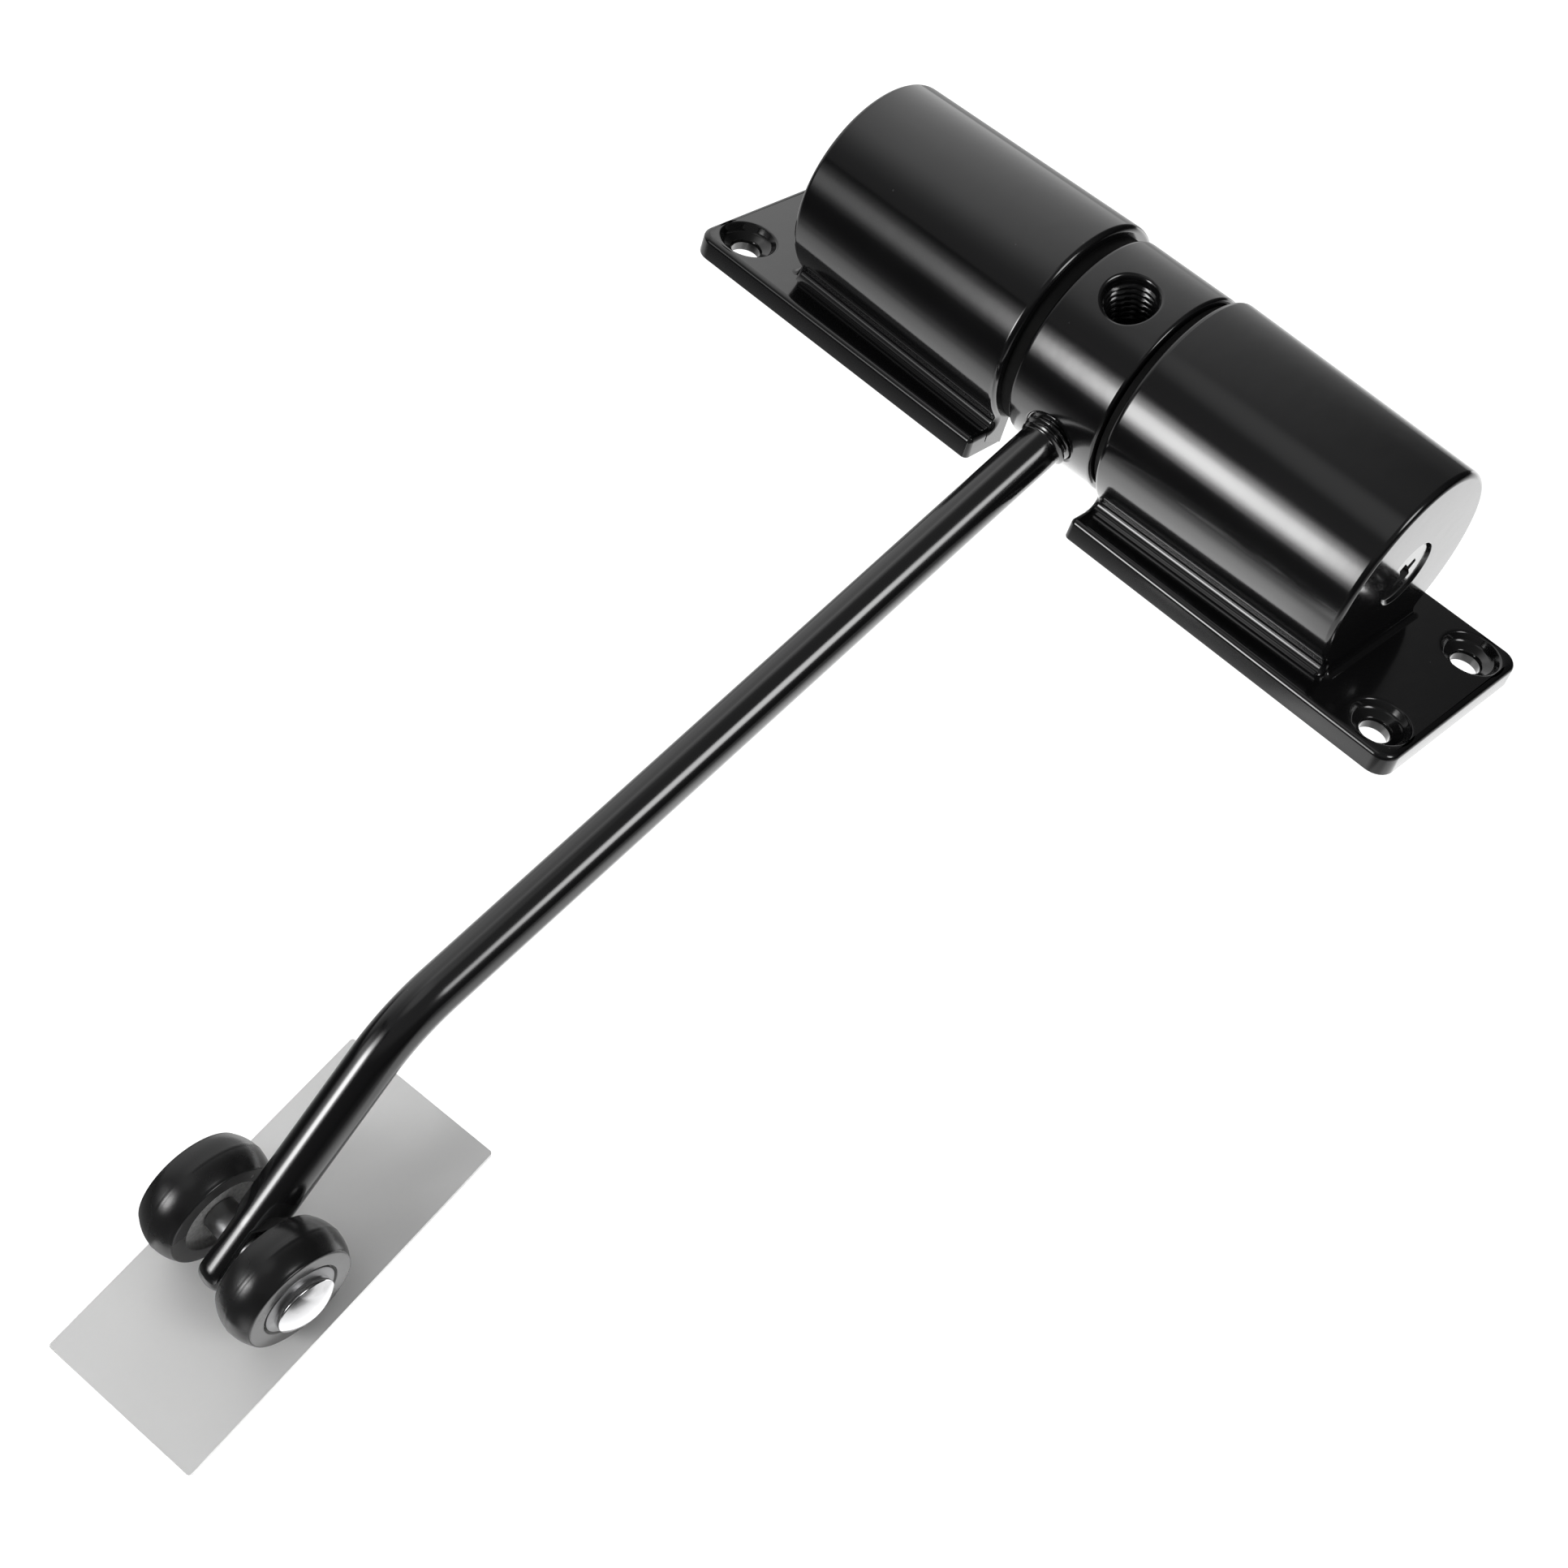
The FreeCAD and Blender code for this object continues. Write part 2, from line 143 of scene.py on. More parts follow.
def finish_piece(name, bm, material, body, nodes, sharp=38, outward=True):
    """A smooth shaded object in metres that rides on a body and stands for CAD nodes."""
    bmesh.ops.remove_doubles(bm, verts=bm.verts, dist=0.002)
    if outward:
        bmesh.ops.recalc_face_normals(bm, faces=bm.faces)
    mesh = bpy.data.meshes.new(name)
    bm.to_mesh(mesh)
    bm.free()
    mesh.transform(Matrix.Scale(mm, 4))
    mesh.shade_smooth()
    mesh.set_sharp_from_angle(angle=math.radians(sharp))
    mesh.materials.append(material)
    piece = bpy.data.objects.new(name, mesh)
    bpy.context.scene.collection.objects.link(piece)
    even = piece.modifiers.new("even_normals", "WEIGHTED_NORMAL")
    even.keep_sharp = True
    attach(piece, body)
    if nodes:
        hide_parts(*nodes)


def new_group(name, inputs, outputs):
    group = bpy.data.node_groups.new(name, "ShaderNodeTree")
    for label, kind, value in inputs:
        socket = group.interface.new_socket(label, in_out="INPUT", socket_type=kind)
        socket.default_value = value
    for label, kind in outputs:
        group.interface.new_socket(label, in_out="OUTPUT", socket_type=kind)
    return group, group.nodes.new("NodeGroupInput"), group.nodes.new("NodeGroupOutput")


def remapped(nodes, links, value, low, high, first=0.0, last=1.0):
    """A value from low to high as one from first to last, held at both ends."""
    spread = nodes.new("ShaderNodeMapRange")
    spread.inputs["From Min"].default_value = low
    spread.inputs["From Max"].default_value = high
    spread.inputs["To Min"].default_value = first
    spread.inputs["To Max"].default_value = last
    links.new(value, spread.inputs["Value"])
    return spread.outputs["Result"]


def two_tones(nodes, links, share, first, second):
    """A colour between two, each a fixed colour or another node's output."""
    tint = nodes.new("ShaderNodeMix")
    tint.data_type = "RGBA"
    links.new(share, tint.inputs["Factor"])
    for label, tone in (("A", first), ("B", second)):
        if isinstance(tone, tuple):
            tint.inputs[label].default_value = (*tone, 1.0)
        else:
            links.new(tone, tint.inputs[label])
    return tint.outputs["Result"]


def texture_at(nodes, links, kind, place, **settings):
    """A texture at a place, with each named socket set to a number or linked."""
    texture = nodes.new(kind)
    links.new(place, texture.inputs["Vector"])
    for label, value in settings.items():
        if isinstance(value, float):
            texture.inputs[label].default_value = value
        else:
            links.new(value, texture.inputs[label])
    return texture


def bumped(nodes, links, height, depth, distance):
    bump = nodes.new("ShaderNodeBump")
    bump.inputs["Distance"].default_value = distance
    links.new(height, bump.inputs["Height"])
    links.new(depth, bump.inputs["Strength"])
    return bump.outputs["Normal"]


def placed(nodes, group, values):
    """A node of a group with its named inputs set."""
    node = nodes.new("ShaderNodeGroup")
    node.node_tree = group
    for label, value in values.items():
        node.inputs[label].default_value = value
    return node


def make_paint_skin():
    """Orange peel normals, faint smudges and dust specks, all in object space."""
    group, source, result = new_group(
        "paint_skin",
        [("Peel Scale", "NodeSocketFloat", 260.0), ("Peel Depth", "NodeSocketFloat", 0.04)],
        [("Normal", "NodeSocketVector"), ("Smudge", "NodeSocketFloat"),
         ("Speck", "NodeSocketFloat")])
    nodes, links = group.nodes, group.links
    place = nodes.new("ShaderNodeTexCoord").outputs["Object"]
    peel = texture_at(nodes, links, "ShaderNodeTexNoise", place,
                      Scale=source.outputs["Peel Scale"], Detail=1.5)
    smudge = texture_at(nodes, links, "ShaderNodeTexNoise", place, Scale=38.0, Detail=5.0)
    speck = texture_at(nodes, links, "ShaderNodeTexVoronoi", place, Scale=170.0)
    normal = bumped(nodes, links, peel.outputs["Fac"], source.outputs["Peel Depth"], 0.0004)
    links.new(normal, result.inputs["Normal"])
    links.new(remapped(nodes, links, smudge.outputs["Fac"], 0.46, 0.78), result.inputs["Smudge"])
    links.new(remapped(nodes, links, speck.outputs["Distance"], 0.035, 0.02), result.inputs["Speck"])
    return group


paint_skin = make_paint_skin()


def new_material(name):
    material = bpy.data.materials.new(name)
    material.use_nodes = True
    return material, material.node_tree.nodes, material.node_tree.links


def surface(links, shader, colour, roughness, normal):
    """Links the three inputs that vary over every finish."""
    links.new(colour, shader.inputs["Base Color"])
    links.new(roughness, shader.inputs["Roughness"])
    links.new(normal, shader.inputs["Normal"])


def gloss_paint(name, colour, peel_scale, peel_depth, gloss, coat=0.6, ior=1.5):
    """Thick gloss black paint: a dark base under a clear hard skin, with dust and smudges."""
    material, nodes, links = new_material(name)
    shader = nodes["Principled BSDF"]
    shader.inputs["IOR"].default_value = ior
    shader.inputs["Coat Weight"].default_value = coat
    shader.inputs["Coat Roughness"].default_value = gloss * 0.6
    shader.inputs["Coat IOR"].default_value = 1.5
    skin = placed(nodes, paint_skin, {"Peel Scale": peel_scale, "Peel Depth": peel_depth})
    tint = two_tones(nodes, links, skin.outputs["Speck"], colour, (0.05, 0.05, 0.052))
    rough = remapped(nodes, links, skin.outputs["Smudge"], 0.0, 1.0, gloss, gloss + 0.07)
    surface(links, shader, tint, rough, skin.outputs["Normal"])
    return material


casting_paint = gloss_paint("casting_gloss_black", paint_black, peel_scale=240.0, peel_depth=0.05,
                            gloss=0.13)


def mirrored(corners):
    return [(-x, y, -inward_x, inward_y, radius) for x, y, inward_x, inward_y, radius in corners]


def plate_outline(inset, z):
    """The plate's edge with the arm's notch and the two spring slots open to it.

    A corner is (x, y, inward x, inward y, radius); a negative radius is a hollow corner."""
    end = [(base_half_x, -base_half_y, -1, 1, base_corner), (base_half_x, base_half_y, -1, -1, base_corner)]
    notch = [
        (gap_half, -base_half_y, 1, 1, notch_round), (gap_half, -cavity_radius, 1, -1, slot_round),
        (cavity_end, -cavity_radius, 1, -1, 0.0), (cavity_end, cavity_radius, 1, 1, 0.0),
        (gap_half, cavity_radius, 1, 1, slot_round), (gap_half, notch_back, 1, 1, -notch_hollow)]
    corners = end + mirrored(end)[::-1] + mirrored(notch) + notch[::-1]
    steps = 8
    outline = []
    for i, (x, y, inward_x, inward_y, radius) in enumerate(corners):
        before = corners[i - 1]
        after = corners[(i + 1) % len(corners)]
        at = Vector((x + inward_x * inset, y + inward_y * inset))
        into = Vector((x - before[0], y - before[1])).normalized()
        out = Vector((after[0] - x, after[1] - y)).normalized()
        if radius > 0:
            size = max(radius - inset, 0.05)
        elif radius < 0:
            size = inset - radius
        else:
            size = 0.02
        centre = at - into * size + out * size
        for k in range(steps + 1):
            turn = math.pi / 2 * k / steps
            spot = centre - out * size * math.cos(turn) + into * size * math.sin(turn)
            outline.append((spot.x, spot.y, z))
    return outline


def screw_hole_profile():
    """From the top: a flat ring, a soft mouth, a dished sink, a small step and the bore."""
    return softened([
        (hole_rim_radius + 0.6, base_top, 0), (hole_rim_radius - 0.1, base_top, 0.55),
        (hole_rim_radius - 0.95, base_top - 1.5, 1.2), (hole_radius + 0.25, base_top - 2.15, 0.45),
        (hole_radius, base_top - 2.7, 0.3), (hole_radius, 0.0, 0.3), (hole_radius + 0.3, 0.0, 0)], 6)


def add_base_plate(bm):
    rows = [plate_outline(base_lower_edge, 0.0), plate_outline(0.1, 0.12),
            plate_outline(0.0, base_lower_edge)]
    steps = 6
    for k in range(steps + 1):
        turn = math.pi / 2 * k / steps
        inset = base_draft + base_edge_round * (1 - math.cos(turn))
        rows.append(plate_outline(inset, base_top - base_edge_round * (1 - math.sin(turn))))
    made = add_rows(bm, rows, True)
    tops, bottoms = [made[-1]], [made[0]]
    around = 72
    for sx in (-1, 1):
        for sy in (-1, 1):
            rings = []
            for radius, z in screw_hole_profile():
                rings.append([(sx * hole_x + radius * math.cos(2 * math.pi * i / around),
                               sy * hole_y + radius * math.sin(2 * math.pi * i / around), z)
                              for i in range(around)])
            walls = add_rows(bm, rings, True)
            tops.append(walls[0])
            bottoms.append(walls[-1])
    fill_between(bm, tops)
    fill_between(bm, bottoms)


def barrel_radius(x):
    share = (x - gap_half) / (barrel_end - gap_half)
    return barrel_radius_gap + (barrel_radius_end - barrel_radius_gap) * share


def barrel_section(x, inset, side):
    """One open cross-section: plate, flare, barrel round the top, flare, plate."""
    outer = barrel_radius(x)
    rise = base_top + foot_flare - axis_height
    centre_y = math.sqrt((outer + foot_flare) ** 2 - rise ** 2)
    lean = math.degrees(math.atan2(rise, centre_y))
    flare = arc_points(centre_y, base_top + foot_flare, foot_flare + inset, 270, 180 + lean, 8)
    drum = arc_points(0.0, axis_height, outer - inset, lean, 180 - lean, 120)
    right = [(centre_y, base_top / 2)] + flare
    left = [(-y, z) for y, z in reversed(right)]
    return [(side * x, y, z) for y, z in right + drum[1:-1] + left]


def add_barrel(bm, side):
    steps = 6
    rim = []
    for k in range(steps + 1):
        turn = math.pi / 2 * k / steps
        rim.append((barrel_rim_round * (1 - math.cos(turn)), barrel_rim_round * (1 - math.sin(turn))))
    rows = [barrel_section(gap_half + into, inset, side) for into, inset in rim]
    for share in (0.2, 0.4, 0.6, 0.8):
        rows.append(barrel_section(gap_half + (barrel_end - gap_half) * share, 0.0, side))
    rows += [barrel_section(barrel_end - into, inset, side) for into, inset in rim[::-1]]
    outer = add_rows(bm, rows, False)
    slot_foot = 0.06
    cavity = [(cavity_radius, slot_foot), (cavity_radius, axis_height)]
    cavity += arc_points(0.0, axis_height, cavity_radius, 0, 180, 60)[1:-1]
    cavity += [(-cavity_radius, axis_height), (-cavity_radius, slot_foot)]
    walls = add_rows(bm, [[(side * x, y, z) for y, z in cavity] for x in (gap_half, cavity_end)], False)
    bm.faces.new(outer[0] + walls[0][::-1])
    bm.faces.new(walls[-1])
    sink = softened([
        (barrel_end, screw_sink_radius + 0.4, 0), (barrel_end, screw_sink_radius, 0.25),
        (barrel_end - screw_sink_depth, screw_hole_radius, 0.2), (cavity_end, screw_hole_radius, 0)])
    seat = add_turned(bm, sink, (0.0, 0.0, axis_height), side, 96)
    fill_between(bm, [outer[-1], seat[0]])


def add_end_foot(bm, side):
    """The end face's small concave foot, which turns its corners into the flares."""
    rise = base_top + foot_flare - axis_height
    half = math.sqrt((barrel_radius_end - barrel_rim_round / 2 + foot_flare) ** 2 - rise ** 2) - foot_flare
    section = arc_points(foot_flare, foot_flare, foot_flare, 270, 180, 8)
    section += [(-foot_root, foot_flare), (-foot_root, -foot_root), (foot_flare, -foot_root)]
    stations = [(-1, math.radians(-90 + 9 * i)) for i in range(11)]
    stations += [(1, math.radians(9 * i)) for i in range(11)]
    rows = []
    for hand, turn in stations:
        rows.append([(side * (barrel_end + out * math.cos(turn)), hand * half + out * math.sin(turn),
                      base_top + up) for out, up in section])
    made = add_rows(bm, rows, True)
    bm.faces.new(made[0])
    bm.faces.new(made[-1])


casting_bm = bmesh.new()
add_base_plate(casting_bm)
for side in (-1, 1):
    add_barrel(casting_bm, side)
    add_end_foot(casting_bm, side)
finish_piece("casting", casting_bm, casting_paint, "closer_body", ["base_casting"])


# End screws: black plated countersunk screws with a cross recess, one in each barrel's end,
# which hold the spindle. Their heads sit a little below the end face.
end_screw_radius = 6.05
screw_face = barrel_end - 0.5
recess_arm = 2.9
recess_half = 0.8
recess_depth = 2.4
shank_radius = 2.4
shank_length = 17.5
screw_plating = gloss_paint("screw_black_plating", (0.016, 0.016, 0.017), peel_scale=500.0, peel_depth=0.06,
                            gloss=0.15, coat=1.0, ior=1.6)


def applied(piece):
    """The mesh of a scratch object with its modifiers applied; the object is removed."""
    graph = bpy.context.evaluated_depsgraph_get()
    mesh = bpy.data.meshes.new_from_object(piece.evaluated_get(graph))
    bpy.data.objects.remove(piece)
    return mesh


def scratch_object(name, bm):
    bmesh.ops.remove_doubles(bm, verts=bm.verts, dist=0.0005)
    bmesh.ops.recalc_face_normals(bm, faces=bm.faces)
    mesh = bpy.data.meshes.new(name)
    bm.to_mesh(mesh)
    bm.free()
    piece = bpy.data.objects.new(name, mesh)
    bpy.context.scene.collection.objects.link(piece)
    return piece


def cut_away(bm, cutters):
    """The solid in bm less each cutter, as a new bmesh in millimetres."""
    solid = scratch_object("cut_solid", bm)
    tools = [scratch_object("cut_tool", cutter) for cutter in cutters]
    for tool in tools:
        cut = solid.modifiers.new("cut", "BOOLEAN")
        cut.operation = "DIFFERENCE"
        cut.solver = "EXACT"
        cut.object = tool
    mesh = applied(solid)
    for tool in tools:
        bpy.data.objects.remove(tool)
    result = bmesh.new()
    result.from_mesh(mesh)
    return result


def recess_tool(side):
    """The cross punch: two crossed blades that taper towards the bottom."""
    bm = bmesh.new()
    inner_corner = 1.25
    rows = []
    for x, share in ((screw_face + 0.4, 1.12), (screw_face, 1.0), (screw_face - recess_depth, 0.55)):
        row = []
        for i in range(4):
            turn = math.radians(90 * i + 45)
            ahead = Vector((math.cos(turn), math.sin(turn)))
            aside = Vector((-ahead.y, ahead.x))
            for spot in (ahead * recess_arm * share - aside * recess_half * share,
                         ahead * recess_arm * share + aside * recess_half * share,
                         (ahead + aside) * recess_half * inner_corner * share):
                row.append((side * x, spot.x, axis_height + spot.y))
        rows.append(row)
    made = add_rows(bm, rows, True)
    bm.faces.new(made[0])
    bm.faces.new(made[-1])
    return bm


end_screws_bm = bmesh.new()
for side in (-1, 1):
    head_bm = bmesh.new()
    head = softened([
        (barrel_end - shank_length, 0.0, 0), (barrel_end - shank_length, shank_radius, 0.4),
        (barrel_end - screw_sink_depth - 0.1, shank_radius, 0.2), (screw_face - 0.3, end_screw_radius, 0.15),
        (screw_face, end_screw_radius - 0.2, 0.18), (screw_face, 0.0, 0)])
    add_turned(head_bm, head, (0.0, 0.0, axis_height), side, 96)
    screw_bm = cut_away(head_bm, [recess_tool(side)])
    screw_mesh = bpy.data.meshes.new("one_screw")
    screw_bm.to_mesh(screw_mesh)
    screw_bm.free()
    end_screws_bm.from_mesh(screw_mesh)
finish_piece("end_screw_pair", end_screws_bm, screw_plating, "closer_body",
             ["end_screws"], sharp=30)


# Spindle, anchor plates and spacer rings: a ground steel bar through both barrels, two stamped
# plates that hold the outer spring legs, and black nylon rings beside the hub.
def make_fine_grain():
    """Fine grain, which can be drawn out into tool marks, and larger soft patches."""
    group, source, result = new_group(
        "fine_grain",
        [("Stretch", "NodeSocketVector", (1.0, 1.0, 1.0)), ("Turn", "NodeSocketVector", (0.0, 0.0, 0.0)),
         ("Scale", "NodeSocketFloat", 400.0), ("Detail", "NodeSocketFloat", 3.0),
         ("Depth", "NodeSocketFloat", 0.2), ("Patch Scale", "NodeSocketFloat", 180.0),
         ("Patch Detail", "NodeSocketFloat", 4.0), ("Patch Roughness", "NodeSocketFloat", 0.5)],
        [("Normal", "NodeSocketVector"), ("Grain", "NodeSocketFloat"), ("Patch", "NodeSocketFloat")])
    nodes, links = group.nodes, group.links
    place = nodes.new("ShaderNodeTexCoord").outputs["Object"]
    stretch = nodes.new("ShaderNodeMapping")
    links.new(place, stretch.inputs["Vector"])
    links.new(source.outputs["Stretch"], stretch.inputs["Scale"])
    links.new(source.outputs["Turn"], stretch.inputs["Rotation"])
    grain = texture_at(nodes, links, "ShaderNodeTexNoise", stretch.outputs["Vector"],
                       Scale=source.outputs["Scale"], Detail=source.outputs["Detail"])
    patch = texture_at(nodes, links, "ShaderNodeTexNoise", place, Scale=source.outputs["Patch Scale"],
                       Detail=source.outputs["Patch Detail"], Roughness=source.outputs["Patch Roughness"])
    normal = bumped(nodes, links, grain.outputs["Fac"], source.outputs["Depth"], 0.0002)
    links.new(normal, result.inputs["Normal"])
    links.new(grain.outputs["Fac"], result.inputs["Grain"])
    links.new(patch.outputs["Fac"], result.inputs["Patch"])
    return group


fine_grain = make_fine_grain()


def machined_metal(name, colour, roughness, grain_scale, grain_depth):
    """Bare or plated steel with fine tool marks and slight handling stains."""
    material, nodes, links = new_material(name)
    shader = nodes["Principled BSDF"]
    shader.inputs["Metallic"].default_value = 1.0
    marks = placed(nodes, fine_grain, {"Stretch": (1.0, 0.08, 0.08), "Scale": grain_scale,
                                       "Depth": grain_depth})
    stain = remapped(nodes, links, marks.outputs["Patch"], 0.5, 0.75)
    tint = two_tones(nodes, links, stain, colour, tuple(c * 0.72 for c in colour))
    rough = remapped(nodes, links, marks.outputs["Grain"], 0.3, 0.7, roughness * 0.8, roughness * 1.3)
    surface(links, shader, tint, rough, marks.outputs["Normal"])
    return material


def moulded_plastic(name, colour, roughness, grain_scale, grain_depth, shine=0.5):
    """Moulded nylon with a faint mould texture and rubbed patches."""
    material, nodes, links = new_material(name)
    shader = nodes["Principled BSDF"]
    shader.inputs["IOR"].default_value = 1.52
    shader.inputs["Specular IOR Level"].default_value = shine
    skin = placed(nodes, fine_grain, {"Scale": grain_scale, "Detail": 4.0, "Depth": grain_depth,
                                      "Patch Scale": 90.0, "Patch Detail": 5.0})
    rub = skin.outputs["Patch"]
    tint = two_tones(nodes, links, rub, colour, tuple(min(1.0, c * 1.5 + 0.004) for c in colour))
    rough = remapped(nodes, links, rub, 0.42, 0.72, roughness * 0.85, roughness * 1.35)
    surface(links, shader, tint, rough, skin.outputs["Normal"])
    return material


ground_steel = machined_metal("ground_steel", (0.50, 0.50, 0.51), roughness=0.28,
                              grain_scale=420.0, grain_depth=0.2)
stamped_steel = machined_metal("stamped_steel", (0.42, 0.42, 0.43), roughness=0.4,
                               grain_scale=260.0, grain_depth=0.35)
ring_nylon = moulded_plastic("ring_black_nylon", (0.004, 0.004, 0.004), roughness=0.7,
                             grain_scale=500.0, grain_depth=0.15, shine=0.1)


def dress(node, material):
    """Gives a solid of the construction its finish, where no finer piece replaces it."""
    mesh = frame["nodes"][node].data
    mesh.materials.clear()
    mesh.materials.append(material)


dress("spindle", ground_steel)
dress("anchor_left", stamped_steel)
dress("anchor_right", stamped_steel)
dress("spacer_ring_left", ring_nylon)
dress("spacer_ring_right", ring_nylon)


# Springs: two round wire torsion springs wound opposite ways, each with an axial leg in the hub
# and one in its anchor plate. The wire is oil tempered and dark.
wire_radius = 1.6
coil_radius = 9.1
coil_first = 19.9
coil_last = 53.8
coil_turns = 8
coil_bend = 1.6
leg_inner = 15.4
leg_outer = 58.4
spring_wire = machined_metal("spring_wire", (0.16, 0.16, 0.165), roughness=0.36,
                             grain_scale=900.0, grain_depth=0.2)


def spring_line(side):
    """The wire from the hub's leg through the coil to the anchor's leg."""
    per_turn = 40
    points = [Vector((leg_inner, coil_radius, 0.0)), Vector((coil_first - coil_bend, coil_radius, 0.0))]
    steps = coil_turns * per_turn
    for i in range(steps + 1):
        turn = 2 * math.pi * i / per_turn
        x = coil_first + (coil_last - coil_first) * i / steps
        points.append(Vector((x, coil_radius * math.cos(turn), coil_radius * math.sin(turn))))
    points += [Vector((coil_last + coil_bend, coil_radius, 0.0)), Vector((leg_outer, coil_radius, 0.0))]
    return [Vector((side * p.x, p.y, p.z + axis_height)) for p in points]


def add_tube(bm, line, radius, around):
    """A round tube along a line of points, its rings carried without twist."""
    rows = []
    aside = Vector((0.0, 0.0, 1.0))
    for i, point in enumerate(line):
        ahead = (line[min(i + 1, len(line) - 1)] - line[max(i - 1, 0)]).normalized()
        aside = (aside - ahead * aside.dot(ahead)).normalized()
        third = ahead.cross(aside)
        rows.append([point + (aside * math.cos(2 * math.pi * k / around)
                              + third * math.sin(2 * math.pi * k / around)) * radius
                     for k in range(around)])
    made = add_rows(bm, rows, True)
    bm.faces.new(made[0])
    bm.faces.new(made[-1])


for side, hand in ((-1, "left"), (1, "right")):
    spring_bm = bmesh.new()
    add_tube(spring_bm, spring_line(side), wire_radius, 14)
    finish_piece("wound_spring_" + hand, spring_bm, spring_wire, "closer_body",
                 ["spring_" + hand])


# Hub: a turned steel drum with four tapped sockets for the arm and the winding bar, painted
# with the casting's gloss black. It turns on two nylon bushes on the spindle.
joints = {joint["name"]: joint for joint in frame["joints"]}
hub_x = joints["hub_turn"]["pos_m"][0] / mm
hub_radius = 20.5
hub_half = 9.8
journal_radius = 11.4
journal_reach = 18.0
bush_bore = 6.6
arm_down = math.radians(23.97)
socket_radius = 5.0
socket_floor = 8.2
socket_round = 0.85
thread_pitch = 1.5
thread_depth = 0.55
hub_paint = gloss_paint("hub_gloss_black", paint_black, peel_scale=300.0, peel_depth=0.05, gloss=0.15)
bush_nylon = moulded_plastic("bush_natural_nylon", (0.55, 0.52, 0.44), roughness=0.45,
                             grain_scale=400.0, grain_depth=0.1)


def socket_axes(angle):
    """Outward, sideways (+X) and third axis of a socket at this angle from +Z towards -Y."""
    out = Vector((0.0, -math.sin(angle), math.cos(angle)))
    return out, Vector((1.0, 0.0, 0.0)), Vector((0.0, math.cos(angle), math.sin(angle)))


def socket_tool(angle):
    """A drill whose rounded shoulder follows the drum, so that the mouth has an even soft edge."""
    bm = bmesh.new()
    out, aside, third = socket_axes(angle)
    around = 96

    def ring(radius, rise_at):
        row = []
        for k in range(around):
            turn = 2 * math.pi * k / around
            row.append(Vector((hub_x, 0, axis_height)) + out * rise_at(turn)
                       + (aside * math.cos(turn) + third * math.sin(turn)) * radius)
        return row

    def drum_rise(radius, turn):
        return math.sqrt(hub_radius ** 2 - (radius * math.sin(turn)) ** 2)

    rows = [ring(0.0, lambda turn: socket_floor), ring(socket_radius, lambda turn: socket_floor)]
    mouth = socket_radius + socket_round
    for i in range(8):
        swing = math.radians(90 * i / 7)
        drop = socket_round * (1 - math.sin(swing)) - 0.02
        rows.append(ring(mouth - socket_round * math.cos(swing),
                         lambda turn: drum_rise(mouth, turn) - drop))
    rows.append(ring(mouth + 0.5, lambda turn: drum_rise(mouth + 0.5, turn) + 0.7))
    rows.append(ring(mouth + 0.5, lambda turn: hub_radius + 2))
    rows.append(ring(0.0, lambda turn: hub_radius + 2))
    add_rows(bm, rows, True)
    return bm


def thread_ridge(phase, steepness, root):
    """Height from 0 to 1 of a flat-topped thread ridge at a share of its pitch."""
    return max(0.0, min(1.0, (1.0 - abs(2 * phase - 1.0)) * steepness - root))


def add_socket_thread(bm, angle):
    """The tapped thread as a helical ridge inside the socket, running out at the mouth."""
    out, aside, third = socket_axes(angle)
    top = math.sqrt(hub_radius ** 2 - socket_radius ** 2) - socket_round
    rows = []
    per_pitch = 8
    around = 64
    count = int((top - socket_floor - 0.3) / thread_pitch * per_pitch)
    for i in range(count + 1):
        rise = top - i * thread_pitch / per_pitch
        fade = min(1.0, i / per_pitch)
        row = []
        for k in range(around):
            share = k / around
            ridge = thread_ridge((i / per_pitch + share) % 1.0, 1.6, 0.3)
            radius = socket_radius + 0.02 - thread_depth * ridge * fade
            turn = 2 * math.pi * share
            row.append(Vector((hub_x, 0, axis_height)) + out * rise
                       + (aside * math.cos(turn) + third * math.sin(turn)) * radius)
        rows.append(row)
    add_rows(bm, rows, True)


hub_bm = bmesh.new()
drum = softened([
    (-journal_reach, bush_bore, 0), (-journal_reach, journal_radius, 0.4),
    (hub_x - hub_half, journal_radius, 0.5), (hub_x - hub_half, hub_radius, 0.8),
    (hub_x + hub_half, hub_radius, 0.8), (hub_x + hub_half, journal_radius, 0.5),
    (journal_reach, journal_radius, 0.4), (journal_reach, bush_bore, 0),
    (-journal_reach, bush_bore, 0)], 6)
add_turned(hub_bm, drum, (0.0, 0.0, axis_height), 1, 288)
sockets = [arm_down + math.pi / 2 * i for i in range(4)]
hub_bm = cut_away(hub_bm, [socket_tool(angle) for angle in sockets])
for angle in sockets[:1] + sockets[2:]:  # the arm's own thread fills the second socket
    add_socket_thread(hub_bm, angle)
finish_piece("tapped_hub", hub_bm, hub_paint, "arm_body", ["hub"], outward=False)
dress("bush_left", bush_nylon)
dress("bush_right", bush_nylon)


# Arm: one bent steel rod, threaded into the hub at its root and pressed flat on both sides at its
# tip, where the rivet goes through. It is painted gloss black all over.
rod_radius = 4.25
thread_outer = 4.95
thread_show = 3.0
root_depth = 9.0
arm_run = 165.83
bend_radius = 32.0
tip_down = math.radians(52.9)
tip_run = 38.03
tip_half_thickness = 2.3
tip_half_width = 4.3
flat_length = 3.3
end_reach = 5.9
flatten_length = 2.6
rod_around = 80
arm_paint = gloss_paint("arm_gloss_black", (0.006, 0.006, 0.0065), peel_scale=220.0, peel_depth=0.02,
                        gloss=0.13, coat=0.0, ior=1.82)
hub_centre = Vector((hub_x, 0.0, axis_height))


